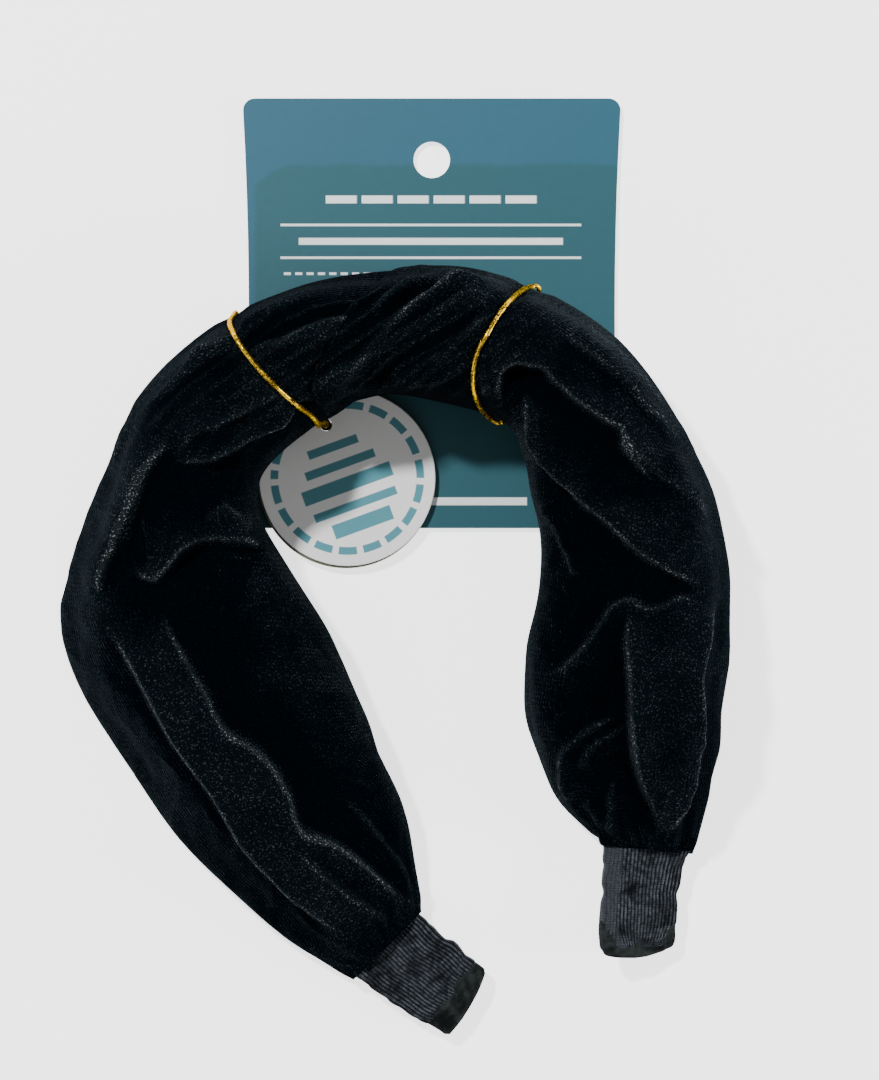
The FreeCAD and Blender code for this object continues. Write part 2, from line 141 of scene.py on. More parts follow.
RIGHT_FOLDS = [
    # Main fold of the twist.
    (
        [(-18.5, 37.5), (-14.5, 41), (-8.5, 44.5), (-3, 50), (3.5, 55), (11, 59.5), (19.5, 61.5),
         (24.5, 61)],
        2.6, 3.2, -1,
    ),
    ([(-10.5, 37.5), (-2, 39.5), (5.5, 43.5), (11, 46.5), (16, 51), (19.5, 55)], 2.0, 3, -1),
    # Leading edge.
    ([(-5, 51), (-4, 55), (-1, 58), (3.5, 60.5), (11, 63.5), (19, 62.5)], 2.4, 3, -1),
    ([(-4, 50), (0, 53), (5.5, 57), (13, 61), (19.5, 62)], 1.8, 2.4, -1),
    ([(-6, 44.5), (0, 48.5), (7.5, 53), (14, 57), (20.5, 59)], 1.8, 2.6, -1),
    ([(-2, 38), (7.5, 39), (14, 42), (19, 45.5)], 1.4, 2.4, 1),
    # Hook of the right flap.
    (
        [(23.5, 32.5), (22.5, 37), (23, 41), (25.5, 42.5), (28, 42), (30.5, 41.5), (33, 39),
         (36.5, 36), (41, 32.5), (44.5, 30), (47, 28.5), (48, 24.5), (51, 20.5), (55, 16.5)],
        3.6, 5, 1,
    ),
    (
        [(33, 50), (38.5, 45.5), (44.5, 41), (49.5, 36.5), (53, 32), (57, 29), (61, 25.5),
         (65, 20)],
        2.0, 4, 1,
    ),
    ([(38, 51.5), (43, 48.5), (48, 44), (52.5, 39), (58, 32.5)], 1.4, 3, 1),
    # Long diagonal fold.
    (
        [(26.5, 37.5), (27.5, 30.5), (29.5, 24.5), (33, 19.5), (36.5, 16), (40, 12.5), (45, 8.5),
         (50, 3.5), (54.5, 0), (60.5, -3), (65.5, -5)],
        3.2, 6, 1,
    ),
    ([(46.5, 27.5), (51, 22.5), (56, 18), (62.5, 14), (67, 9.5)], 1.6, 4, 1),
    ([(29.5, 15), (33, 8.5), (36, 3), (38, -3.5)], 2.0, 3.5, 1),
    ([(34.5, 3.5), (32.5, 0), (31, -5)], 1.2, 2.5, -1),
    # S fold.
    (
        [(32, -23), (34.5, -22), (38.5, -18), (43, -12.5), (46, -8), (49.5, -6.5), (53, -8.5),
         (56, -8), (59, -6.5), (64.5, -6.5)],
        2.8, 4.5, -1,
    ),
    # Middle crease.
    (
        [(49, -9), (48.5, -15), (49, -22.5), (49.5, -32.5), (50.5, -40.5), (52.5, -47.5),
         (55, -53), (55.5, -58)],
        2.6, 6, 1,
    ),
    # Crescent.
    (
        [(48.5, -31.5), (43, -33), (38.5, -36), (36, -39), (35, -44), (35.5, -48.5), (37.5, -53)],
        2.4, 3.0, 1,
    ),
    ([(49, -34), (44.5, -36), (40.5, -39), (38.5, -43)], 1.4, 2.5, 1),
    ([(46, -45.5), (45.5, -50.5), (45.5, -56.5), (45.5, -59.5)], 1.4, 2.2, 1),
    ([(40, -50), (42, -54.5), (44.5, -59)], 1.2, 2.2, 1),
    # Right ridge.
    (
        [(69, -6), (67.5, -12), (65.5, -21), (65, -30), (65.5, -37.5), (64.5, -45.5), (62, -53),
         (58.5, -60.5)],
        2.6, 3.5, -1,
    ),
    ([(58, -47), (56.5, -53), (56.5, -59)], 1.2, 2.4, 1),
]

# The elastic loops: places on the floor plan where they lie over the velvet, then under it.
LEFT_LOOP = [
    (-35.2, 54.8), (-36.0, 52.8), (-34.5, 49.2), (-31.7, 44.9), (-29.3, 41.9),
    (-25.2, 37.6), (-21.2, 34.1), (-17.9, 31.9),
]
RIGHT_LOOP = [
    (31.6, 60.6), (29.8, 60.8), (28.2, 60.1), (24.8, 56.9), (22.0, 53.4), (19.6, 49.4),
    (17.2, 44.9), (16.4, 40.8), (16.6, 37.2), (18.0, 34.0), (20.4, 31.9), (22.6, 30.6),
]
# The card's holes for each loop, at its outer and its inner end. The left one's inner end also
# goes through the tag.
TAG_HOLE = (-15.7, 30.6)
LEFT_HOLES = ((-30.0, 51.8), TAG_HOLE)
RIGHT_HOLES = ((29.4, 56.6), (24.4, 34.6))
ELASTIC_RADIUS = 0.58
# How far the middle of the elastic is above the pile that it presses into.
ELASTIC_LIFT = ELASTIC_RADIUS * 0.75
# Below the first height the elastic's colour starts to turn to painted shade, where it goes down
# # into the holes, and below the second it is all painted shade: in metres above the floor.
HOLE_SHADE_TOP = 0.0033
HOLE_SHADE_BOTTOM = 0.0029
# The loops go up the outer wall, which faces away from here, and down the inner wall, which
# faces here.
MIDDLE_OF_HOOP = (0.0, 0.0)

# Where the right half of the twist lies over the left half.
CROSSING = [(-1.0, 66.0), (-3.5, 60.5), (-5.4, 56.8), (-10.9, 45.8), (-16.6, 37.3), (-20.0, 32.0)]

# How bright the painted highlight along the folds' crests is, and how strong the twist's gathers
# are.
PAINTED_CREST_HIGHLIGHT = 1.7
TWIST_GATHERS = 0.7
# How far apart are the ribs of the sleeves, the stitches along them and the tufts of the pile.
RIB_PITCH = 0.8
STITCH_PITCH = 0.55
PILE_PITCH = 1.0
# Rows along a piece and columns round it.
PANEL_GRID = (330, 300)
SLEEVE_GRID = (130, 460)
TIP_GRID = (50, 220)
HEM_GRID = (30, 300)
# How thick the sleeves and hems are, and where along an end tab a hem sits.
SLEEVE_THICKNESS = 3.3
HEM_THICKNESS = 5.2
HEM_SPAN = (0.04, 0.15)
# The lowest that the velvet comes, and how high up it the lift over the tag still shows.
FLOOR_GAP = 0.35
HEADROOM_TOP = 9.0

# Blue-greens of the card.
CARD_LIGHT = (0.015, 0.086, 0.133, 1)
CARD_DEEP = (0.012, 0.075, 0.096, 1)

# The tag: its middle, its radius, how far its back ply has slipped, the degrees that it
# swings through, the room that the velvet leaves for it, the radius of its hole, the radius of
# its ring of dashes and its plain bars: middle x, y, length and height, turn.
TAG_MIDDLE = (-11.0, 19.0)
TAG_RADIUS = 19.3
TAG_SLIP = (-0.3, -0.5)
TAG_TURNS = (-20, 30)
TAG_HEADROOM = 3.8
TAG_HOLE_RADIUS = 1.3
TAG_RING = 16.0
TAG_BARS = [
    ((-14.2, 25.8), (11.5, 1.9), 20),
    ((-12.6, 21.9), (16.0, 1.9), 20),
    ((-11.0, 17.7), (20.5, 3.2), 20),
    ((-9.2, 13.2), (19.0, 1.9), 20),
    ((-7.6, 9.3), (13.5, 3.2), 20),
]

# End tabs beyond the velvet, from under the hem to the tip: one edge x, y, z, other edge x, y, z.
LEFT_TAB = [
    (1.5, -74.0, 5.2, -12.0, -87.5, 4.8),
    (5.2, -76.9, 5.0, -8.2, -90.2, 4.6),
    (8.9, -80.9, 4.7, -4.3, -93.4, 4.4),
    (12.4, -83.0, 4.5, -0.3, -96.0, 4.2),
    (15.9, -86.4, 4.3, 4.5, -99.3, 4.0),
    (17.8, -87.9, 4.2, 8.6, -101.0, 3.8),
    (19.4, -88.7, 4.1, 10.9, -103.2, 3.7),
]
RIGHT_TAB = [
    (45.0, -57.5, 6.9, 64.4, -58.5, 4.4),
    (45.2, -61.2, 7.0, 63.6, -62.4, 4.3),
    (45.2, -66.4, 7.3, 62.0, -66.8, 4.1),
    (45.0, -70.8, 8.1, 61.0, -71.5, 3.9),
    (44.7, -74.8, 8.9, 60.7, -75.6, 3.7),
    (44.5, -79.2, 9.5, 60.1, -79.8, 3.5),
    (44.4, -82.2, 9.6, 59.9, -82.6, 3.4),
    (44.6, -84.7, 9.5, 59.0, -84.4, 3.4),
]


# ---------------------------------------------------------------- small maths


def spline(knots, values, at):
    """A smooth curve through values at knots, read at every place in the array at."""
    knots = np.asarray(knots, float)
    values = np.asarray(values, float)
    if values.ndim == 1:
        values = values[:, None]
    slopes = np.gradient(values, knots, axis=0)
    at = np.clip(np.asarray(at, float), knots[0], knots[-1])
    i = np.clip(np.searchsorted(knots, at, side="right") - 1, 0, len(knots) - 2)
    width = (knots[i + 1] - knots[i])[..., None]
    s = (at - knots[i])[..., None] / width
    return (
        values[i] * (2 * s**3 - 3 * s**2 + 1)
        + slopes[i] * width * (s**3 - 2 * s**2 + s)
        + values[i + 1] * (3 * s**2 - 2 * s**3)
        + slopes[i + 1] * width * (s**3 - s**2)
    )


def smooth(low, high, x):
    """A soft step from 0 at low to 1 at high, where low may be the greater of the two."""
    s = np.clip((x - low) / (high - low), 0, 1)
    return s * s * (3 - 2 * s)


def resample(points, count):
    """count places evenly spaced along a smooth curve through the points."""
    points = np.asarray(points, float)
    along = np.concatenate([[0], np.cumsum(np.linalg.norm(np.diff(points, axis=0), axis=1))])
    fine = spline(along, points, np.linspace(0, along[-1], count * 4))
    far = np.concatenate([[0], np.cumsum(np.linalg.norm(np.diff(fine, axis=0), axis=1))])
    even = np.linspace(0, far[-1], count)
    return np.stack([np.interp(even, far, fine[:, k]) for k in range(points.shape[1])], axis=1)


def waves(x, y, scale, seed, count=7):
    """Soft irregular waves about scale long, between about -1 and 1."""
    draw = np.random.default_rng(seed)
    total = np.zeros_like(x)
    for _ in range(count):
        turn, start = draw.uniform(0, 2 * math.pi, 2)
        pace = 2 * math.pi / (scale * draw.uniform(0.7, 1.5))
        total = total + np.sin(pace * (x * math.cos(turn) + y * math.sin(turn)) + start)
    return total / math.sqrt(count)


# ---------------------------------------------------------------- the band's shape

HOOP = np.array(STATIONS)
MIDDLES = 0.5 * (HOOP[:, 0:2] + HOOP[:, 2:4])
HOOP_AT = np.concatenate([[0], np.cumsum(np.linalg.norm(np.diff(MIDDLES, axis=0), axis=1))])


def sections(at):
    """The band's middle, inward direction, half width, low, high and wall at places along it."""
    rows = spline(HOOP_AT, HOOP, at)
    outer = rows[..., 0:2]
    inner = rows[..., 2:4]
    width = np.linalg.norm(inner - outer, axis=-1, keepdims=True)
    middle = 0.5 * (outer + inner)
    low, high, wall = rows[..., 4], rows[..., 5], rows[..., 6]
    return middle, (inner - outer) / width, 0.5 * width[..., 0], low, high, wall


def fold_relief(x, y, folds):
    """How far the folds lift or sink the velvet at each place of the floor plan, and painted light.

    The painted light is a share for the velvet's base colour: above 0 for painted light beside a
    raised side and a painted highlight along the ridge, below 0 for painted shade over the
    hollow side.
    """
    relief = np.zeros_like(x)
    painted_light_or_plain = np.zeros_like(x)
    flat = np.stack([x.ravel(), y.ravel()], axis=1)
    for route, height, reach, side in folds:
        line = resample(route, 70)
        ahead = np.gradient(line, axis=0)
        ahead /= np.linalg.norm(ahead, axis=1, keepdims=True)
        left = np.stack([-ahead[:, 1], ahead[:, 0]], axis=1)
        near = np.full(len(flat), 1e9)
        nearest = np.zeros(len(flat), int)
        for k in range(len(line)):
            gap = (flat[:, 0] - line[k, 0]) ** 2 + (flat[:, 1] - line[k, 1]) ** 2
            closer = gap < near
            near[closer] = gap[closer]
            nearest[closer] = k
        offset = flat - line[nearest]
        across = side * np.sum(offset * left[nearest], axis=1)
        distance = np.sqrt(near)
        share = nearest / (len(line) - 1)
        taper = smooth(0, 0.22, share) * smooth(0, 0.22, 1 - share)
        taper *= 1 + 0.16 * np.sin(share * 17 + route[0][0])
        rise = 0.5 * (1 + np.tanh(across / 0.95))
        lip = rise * np.exp(-((distance / reach) ** 1.4))
        trough = (1 - rise) * np.exp(-distance / (0.6 * reach))
        relief += (height * taper * (lip - 0.6 * trough)).reshape(x.shape)
        # Painted light beside the raised side, painted shade over the hollow side.
        light_or_plain = 0.6 * rise * np.exp(-distance / (0.8 * reach))
        light_or_plain -= (1 - rise) * np.exp(-distance / (1.5 * reach))
        # A painted highlight: a thin bright line along the ridge of the fold.
        light_or_plain += PAINTED_CREST_HIGHLIGHT * np.exp(-(((across - 0.6) / 0.6) ** 2)) * (distance < 3)
        light_or_plain *= smooth(0, 0.1, share) * smooth(0, 0.1, 1 - share)
        painted_light_or_plain += (height / 3 * light_or_plain).reshape(x.shape)
    return relief, painted_light_or_plain


def groove(x, y, route, depth, width):
    """The dent that a tight cord presses along its route."""
    line = resample(route, 60)
    near = np.full(x.shape, 1e9)
    for px, py in line:
        near = np.minimum(near, (x - px) ** 2 + (y - py) ** 2)
    return -depth * np.exp(-near / width**2)


def normals(points):
    """Outward unit normals of a grid of points, rows along the band and columns round it."""
    along = np.gradient(points, axis=0)
    wrapped = np.concatenate([points[:, -1:], points, points[:, :1]], axis=1)
    around = 0.5 * (wrapped[:, 2:] - wrapped[:, :-2])
    out = np.cross(around, along) * sense(points)
    size = np.linalg.norm(out, axis=-1, keepdims=True)
    return out / np.maximum(size, 1e-9)


def sense(points):
    """1 if the columns run so that a row turned onto the next faces outwards, or else -1."""
    along = np.gradient(points, axis=0)
    around = np.roll(points, -1, axis=1) - points
    away = points - points.mean(axis=1, keepdims=True)
    return math.copysign(1.0, float(np.sum(np.cross(around, along) * away)))


def tube_mesh(name, points, around_mm, along_mm, painted_light_or_plain=None):
    """A closed tube from a grid of points in millimetres, with a UV map in millimetres."""
    rows, columns = points.shape[:2]
    wide = np.broadcast_to(around_mm, (rows, columns + 1))
    first = points[0].mean(axis=0)
    last = points[-1].mean(axis=0)
    verts = np.concatenate([points.reshape(-1, 3), [first], [last]]) * MM
    faces = []
    uvs = []
    for i in range(rows - 1):
        for j in range(columns):
            k = (j + 1) % columns
            here, there = i * columns, (i + 1) * columns
            faces.append((here + j, here + k, there + k, there + j))
            uvs += [(wide[i, j], along_mm[i]), (wide[i, j + 1], along_mm[i])]
            uvs += [(wide[i + 1, j + 1], along_mm[i + 1]), (wide[i + 1, j], along_mm[i + 1])]
    for row, hub, flip in ((0, rows * columns, True), (rows - 1, rows * columns + 1, False)):
        for j in range(columns):
            k = (j + 1) % columns
            a, b = row * columns + j, row * columns + k
            faces.append((b, a, hub) if flip else (a, b, hub))
            uvs += [(wide[row, j], along_mm[row])] * 3
    if sense(points) < 0:
        faces = [face[::-1] for face in faces]
        starts = np.cumsum([0] + [len(face) for face in faces])
        uvs = [uv for a, b in zip(starts, starts[1:]) for uv in uvs[a:b][::-1]]
    mesh = bpy.data.meshes.new(name)
    mesh.from_pydata(verts.tolist(), [], faces)
    layer = mesh.uv_layers.new(name="cloth")
    layer.data.foreach_set("uv", np.asarray(uvs, float).ravel())
    mesh.polygons.foreach_set("use_smooth", [True] * len(mesh.polygons))
    # Point attribute: painted light and shade for the velvet, the strip without ribs for the knit.
    if painted_light_or_plain is not None:
        light_or_plain = mesh.attributes.new("painted_light_or_plain", "FLOAT", "POINT")
        light_or_plain.data.foreach_set("value", np.concatenate([painted_light_or_plain.ravel(), [0, 0]]).astype(np.float32))
    mesh.update()
    piece = bpy.data.objects.new(name, mesh)
    bpy.context.scene.collection.objects.link(piece)
    return piece


def section_shape(half, reach, count):
    """A velvet section: shares across (-1 outer edge, 1 inner) and of its height, for each row.

    From the inner side it rises round a shoulder, runs nearly level over the top, and falls
    from a ridge down a steep outer wall.
    """
    wall = np.minimum(0.42, reach / half)
    one = np.ones_like(wall)
    corners = [
        (0.78 * one, 0.02),
        (0.95 * one, 0.16),
        (1.00 * one, 0.36),
        (0.91 * one, 0.68),
        (0.68 * one, 0.90),
        (0.30 * one, 0.99),
        (-1 + 2.1 * wall, 1.00),
        (-1 + 1.2 * wall, 0.91),
        (-1 + 0.5 * wall, 0.60),
        (-1.00 * one, 0.26),
        (-1 + 0.4 * wall, 0.05),
        (-0.40 * one, 0.00),
        (0.30 * one, 0.00),
    ]
    number = len(corners)
    # The corners are spaced as on a typical section, 30 mm in half width and in height.
    typical = np.array([(30 * a.mean(), 30 * h) for a, h in corners])
    steps = np.linalg.norm(np.roll(typical, -1, axis=0) - typical, axis=1)
    knots = np.concatenate([[0], np.cumsum(steps)])
    length = knots[-1]
    wrapped = [i % number for i in range(-3, number + 4)]
    places = np.array([knots[i % number] + length * (i // number) for i in range(-3, number + 4)])
    values = np.stack([np.concatenate([corners[i][0], [corners[i][1]]]) for i in wrapped])
    shape = spline(places, values, np.linspace(0, length, count, endpoint=False))
    return shape[:, :-1].T, shape[:, -1]


def tucked_end(gap):
    """The share of its size that the left panel keeps under the right one, gap from its end."""
    return 1 - 0.15 * smooth(14, 2, gap)


def rolled_end(gap):
    """The share of its size that the right panel has at its rolled edge, gap from its end."""
    roll = np.clip(gap / 3.5, 0, 1)
    return 0.80 + 0.21 * np.sqrt(1 - (1 - roll) ** 2)


def under_twist(x, y):
    """The valley that the right half presses into the left half of the twist."""
    return groove(x, y, CROSSING, 2.4, 4.5)


def over_twist(x, y):
    """The rounded ridge of the right half beside the crossing."""
    ridge = [(px + 5.0, py - 1.0) for px, py in CROSSING]
    return groove(x, y, ridge, -1.4, 3.5) * smooth(34, 48, y)


def room_for_tag(x, y):
    """How far the velvet's underside is lifted for the tag to swing below it."""
    arm = (TAG_MIDDLE[0] - TAG_HOLE[0], TAG_MIDDLE[1] - TAG_HOLE[1])
    gap = np.full(x.shape, 1e9)
    for turn in np.radians(np.linspace(*TAG_TURNS, 11)):
        middle_x = TAG_HOLE[0] + arm[0] * math.cos(turn) - arm[1] * math.sin(turn)
        middle_y = TAG_HOLE[1] + arm[0] * math.sin(turn) + arm[1] * math.cos(turn)
        gap = np.minimum(gap, np.hypot(x - middle_x, y - middle_y) - TAG_RADIUS)
    return TAG_HEADROOM * smooth(5.5, 3.0, gap)


def velvet_panel(name, begin, end, slant, folds, seed, closing_of, lines, spread, twist):
    """One gathered panel of the cover, from its hem (begin) to where it passes the twist.

    slant moves the far edge along the band between its outer and inner side, closing_of says
    how the panel closes there, lines gives the gathers' phase near the twist and spread how far
    from it they run, and twist is the relief along the crossing.
    """
    rows, columns = PANEL_GRID
    turn = np.linspace(0, 2 * math.pi, columns, endpoint=False)
    share = np.linspace(0, 1, rows)
    straight = sections(begin + (end - begin) * share)
    across, level = section_shape(straight[2], straight[5], columns)
    at = begin + (end + slant * across - begin) * share[:, None]
    middle, inward, half, low, high, _ = sections(at)
    closing = closing_of(np.abs(end + slant * across - at))
    side = half * across * closing
    points = np.empty((rows, columns, 3))
    points[..., 0:2] = middle + inward * side[..., None]
    points[..., 2] = 0.5 * (low + high) + (high - low) * (level[None, :] - 0.5) * closing

    # Each relief is a height above the plain section; up is 1 on the upper side, 0 elsewhere.
    around = turn[None, :] * half
    out = normals(points)
    up = smooth(0.0, 0.55, out[..., 2])
    folded, painted_light_or_plain = fold_relief(points[..., 0], points[..., 1], folds)
    relief = up * folded
    relief += up * twist(points[..., 0], points[..., 1])
    # Gathers of the twist, and long pleats down the walls.
    hem = np.minimum(at, HOOP_AT[-1] - at)
    crown = np.exp(-(((at - HOOP_AT[TWIST]) / spread) ** 2))
    phase = lines(points[..., 0], points[..., 1], side) + 0.8 * waves(at, around, 40, seed + 5)
    gathers = 1 - np.abs(np.sin(phase))
    relief += up * crown * (1.3 * gathers**1.5 - 0.4) * TWIST_GATHERS
    pleats = np.abs(np.sin(4.5 * turn[None, :] + 1.3 * waves(at, around, 60, seed)))
    relief += (1 - up) * (0.6 * pleats - 0.35) * smooth(0, 0.3, np.abs(out[..., 2]))
    # Gathers at the hem, soft unevenness and fine crumples.
    gathers = np.sin(13 * turn[None, :] + waves(at, around, 30, seed + 1))
    relief += 0.55 * np.exp(-hem / 9) * gathers * smooth(0, 3, hem)
    relief += 0.3 * waves(at, around, 22, seed + 2) * smooth(4, 18, hem)
    relief += 0.12 * up * waves(at, around, 7, seed + 3) * smooth(2, 12, hem)
    crumple = 1 - np.abs(waves(points[..., 0], points[..., 1], 16, seed + 4))
    relief += 0.35 * up * np.maximum(crumple, 0) ** 3 * smooth(2, 12, hem)
    # Dents below the elastic loops.
    for route in (LEFT_LOOP, RIGHT_LOOP):
        dent = groove(points[..., 0], points[..., 1], route, 1.5, 1.9)
        relief += dent * smooth(-0.3, 0.3, out[..., 2])
    points += out * relief[..., None]
    points[..., 2] = np.maximum(points[..., 2], FLOOR_GAP)
    lift = room_for_tag(points[..., 0], points[..., 1])
    points[..., 2] += lift * np.clip(1 - points[..., 2] / HEADROOM_TOP, 0, 1)

    # Lengths round each row, measured from the column along the top.
    gap = np.linalg.norm(np.diff(np.concatenate([points, points[:, :1]], axis=1), axis=1), axis=-1)
    around_mm = np.concatenate([np.zeros((rows, 1)), np.cumsum(gap, axis=1)], axis=1)
    around_mm -= around_mm[:, [int(np.argmax(level))]]
    # Painted highlights along the crests of the twist's gathers.
    painted_roll_highlights = 1.1 * crown * (1 - np.abs(np.sin(phase))) ** 2 - 0.2 * crown
    # Painted light and shade of the folds on top; on the walls painted sheen, and painted shade at
    # the twist.
    light_or_plain = up * (painted_light_or_plain * (1 - 0.4 * crown) + painted_roll_highlights) + (1 - up) * (1.1 - 2.0 * crown)
    return tube_mesh(name, points, around_mm, at.mean(axis=1), light_or_plain)


# ---------------------------------------------------------------- materials


class Material:
    """A node material with short calls for the nodes that every recipe uses."""

    def __init__(self, name, **sockets):
        self.material = bpy.data.materials.new(name)
        self.material.use_nodes = True
        self.tree = self.material.node_tree
        self.shader = next(n for n in self.tree.nodes if n.type == "BSDF_PRINCIPLED")
        for socket, value in sockets.items():
            self.shader.inputs[socket.replace("_", " ")].default_value = value

    def add(self, kind, inputs=(), **settings):
        node = self.tree.nodes.new(kind)
        for key, value in settings.items():
            setattr(node, key, value)
        for socket, value in dict(inputs).items():
            if isinstance(value, bpy.types.NodeSocket):
                self.tree.links.new(value, node.inputs[socket])
            else:
                node.inputs[socket].default_value = value
        return node

    def math(self, operation, a, b=0.0, c=0.0):
        node = self.tree.nodes.new("ShaderNodeMath")
        node.operation = operation
        for i, value in enumerate((a, b, c)):
            if isinstance(value, bpy.types.NodeSocket):
                self.tree.links.new(value, node.inputs[i])
            else:
                node.inputs[i].default_value = value
        return node.outputs[0]

    def mix(self, share, a, b):
        node = self.add("ShaderNodeMix", data_type="RGBA")
        for i, value in ((0, share), (6, a), (7, b)):
            if isinstance(value, bpy.types.NodeSocket):
                self.tree.links.new(value, node.inputs[i])
            else:
                node.inputs[i].default_value = value
        return node.outputs[2]

    def noise(self, vector, scale, detail=2.0, rough=0.5):
        inputs = {"Vector": vector, "Scale": scale, "Detail": detail, "Roughness": rough}
        return self.add("ShaderNodeTexNoise", inputs).outputs["Fac"]

    def step(self, value, low, high):
        node = self.add("ShaderNodeMapRange", {"Value": value, "From Min": low, "From Max": high})
        node.interpolation_type = "SMOOTHSTEP"
        return node.outputs[0]

    def place(self):
        return self.add("ShaderNodeTexCoord").outputs["Object"]

    def cloth(self):
        return self.add("ShaderNodeUVMap", uv_map="cloth").outputs["UV"]

    def parts(self, vector):
        return self.add("ShaderNodeSeparateXYZ", {"Vector": vector}).outputs

    def link(self, value, socket):
        self.tree.links.new(value, self.shader.inputs[socket])

    def bump(self, height, distance, strength=1.0, under=None):
        inputs = {"Height": height, "Distance": distance, "Strength": strength}
        if under is not None:
            inputs["Normal"] = under
        return self.add("ShaderNodeBump", inputs).outputs["Normal"]


def velvet_material():
    """Black stretch velvet: nearly no base colour, a silvery pile, fine specks of painted sparkle,
    and painted light and shade along the folds.
    """
    m = Material(
        "black_velvet",
        Roughness=1.0,
        Specular_IOR_Level=0.0,
        Sheen_Weight=1.0,
        Sheen_Roughness=0.25,
        Sheen_Tint=(0.028, 0.035, 0.041, 1),
    )
    place = m.place()
    grain = m.noise(place, 2600, 1.0)
    painted_sparkle = m.step(grain, 0.60, 0.71)
    # Base colour: painted light and painted shade from the point attribute, plus random crushed
    # patches.
    painted_light_or_plain = m.add("ShaderNodeAttribute", attribute_name="painted_light_or_plain").outputs["Fac"]
    crush_and_painted_light = m.math("ADD", painted_light_or_plain, m.math("MULTIPLY_ADD", m.noise(place, 70, 3.0, 0.6), 2.0, -1.0))
    light_or_plain = m.step(crush_and_painted_light, -0.55, 0.75)
    deep = m.mix(light_or_plain, (0.0004, 0.0014, 0.0024, 1), (0.0019, 0.0039, 0.0053, 1))
    bright = m.mix(light_or_plain, (0.0022, 0.0038, 0.0052, 1), (0.033, 0.039, 0.044, 1))
    # Painted highlight along the folds' crests.
    painted_crest_highlight = m.step(crush_and_painted_light, 0.7, 1.8)
    deep = m.mix(painted_crest_highlight, deep, (0.009, 0.012, 0.014, 1))
    bright = m.mix(painted_crest_highlight, bright, (0.17, 0.185, 0.20, 1))
    # Specks of painted sparkle over the near-black ground.
    m.link(m.mix(painted_sparkle, deep, bright), "Base Color")
    cloth = m.parts(m.cloth())
    pace = math.pi / PILE_PITCH
    one_way = m.math("SINE", m.math("MULTIPLY", m.math("ADD", cloth[0], cloth[1]), pace))
    other_way = m.math("SINE", m.math("MULTIPLY", m.math("SUBTRACT", cloth[0], cloth[1]), pace))
    tufts = m.math("MULTIPLY", one_way, other_way)
    uneven = m.math("MULTIPLY", tufts, m.step(m.noise(place, 300, 2.0), 0.3, 0.65))
    base = m.bump(uneven, 0.00014, 1.0)
    m.link(m.bump(grain, 0.00040, 1.0, base), "Normal")
    return m.material


def knit_material():
    """Grey ribbed knit, with painted highlight on the rib crests and painted shade between them,
    and a strip without ribs where the point attribute is 1.
    """
    m = Material(
        "ribbed_knit",
        Roughness=0.85,
        Specular_IOR_Level=0.06,
        Sheen_Weight=0.15,
        Sheen_Roughness=0.4,
        Sheen_Tint=(0.2, 0.22, 0.25, 1),
    )
    cloth = m.parts(m.cloth())
    place = m.place()
    loops = m.math("SINE", m.math("MULTIPLY", cloth[1], 2 * math.pi / STITCH_PITCH))
    rib = m.math("ABSOLUTE", m.math("SINE", m.math("MULTIPLY", cloth[0], math.pi / RIB_PITCH)))
    fuzz = m.noise(place, 1500, 3.0)
    stretch = m.step(m.noise(place, 260, 3.0, 0.6), 0.22, 0.60)
    stitch = m.step(m.noise(place, 1000, 3.0, 0.6), 0.36, 0.64)
    highlight_strength = m.math("MULTIPLY", m.math("MULTIPLY_ADD", stitch, 0.75, 0.32), stretch)
    plain = m.add("ShaderNodeAttribute", attribute_name="painted_light_or_plain").outputs["Fac"]
    # Painted highlight on the rib crests and painted shade between them, varied by stitch and
    # stretch noise.
    ribbed = m.math("MULTIPLY", m.math("POWER", rib, 1.6), highlight_strength)
    flat = m.math("MULTIPLY", m.math("MULTIPLY_ADD", fuzz, 0.7, 0.15), plain)
    shade = m.math("ADD", m.math("MULTIPLY", ribbed, m.math("SUBTRACT", 1.0, plain)), flat)
    m.link(m.mix(shade, (0.0015, 0.0022, 0.0032, 1), (0.062, 0.070, 0.084, 1)), "Base Color")
    m.link(m.bump(m.math("ADD", loops, fuzz), 0.00012, 0.6), "Normal")
    return m.material


def binding_material():
    """Smooth dark binding, worn paler in patches."""
    m = Material("smooth_binding", Roughness=0.8, Specular_IOR_Level=0.03)
    place = m.place()
    fuzz = m.noise(place, 900, 3.0)
    worn = m.step(m.noise(place, 220, 3.0, 0.6), 0.35, 0.65)
    shade = m.math("MULTIPLY", fuzz, m.math("MULTIPLY_ADD", worn, 1.2, 0.3))
    m.link(m.mix(shade, (0.001, 0.0015, 0.0019, 1), (0.022, 0.026, 0.027, 1)), "Base Color")
    m.link(m.bump(fuzz, 0.0001, 0.5), "Normal")
    return m.material


def gold_material():
    """Flat gold thread wound round the elastic, with painted shade making it dark down by the card,
    where it goes into the holes.
    """
    m = Material("gold_thread", Metallic=1.0, Roughness=0.28, Specular_Tint=(0.8, 0.55, 0.12, 1))
    place = m.place()
    fleck = m.add("ShaderNodeTexVoronoi", {"Vector": place, "Scale": 2600}).outputs["Color"]
    shade = m.parts(fleck)[0]
    gold = m.mix(shade, (0.26, 0.14, 0.004, 1), (0.95, 0.62, 0.06, 1))
    # Painted shade: dark and not metal below these heights, where the elastic goes into the holes.
    painted_hole_shade = m.step(m.parts(place)[2], HOLE_SHADE_TOP, HOLE_SHADE_BOTTOM)
    m.link(m.mix(painted_hole_shade, gold, (0.014, 0.022, 0.014, 1)), "Base Color")
    m.link(m.math("SUBTRACT", 1.0, painted_hole_shade), "Metallic")
    m.link(m.math("MULTIPLY_ADD", shade, 0.25, 0.16), "Roughness")
    m.link(m.bump(shade, 0.00012, 0.7), "Normal")
    return m.material


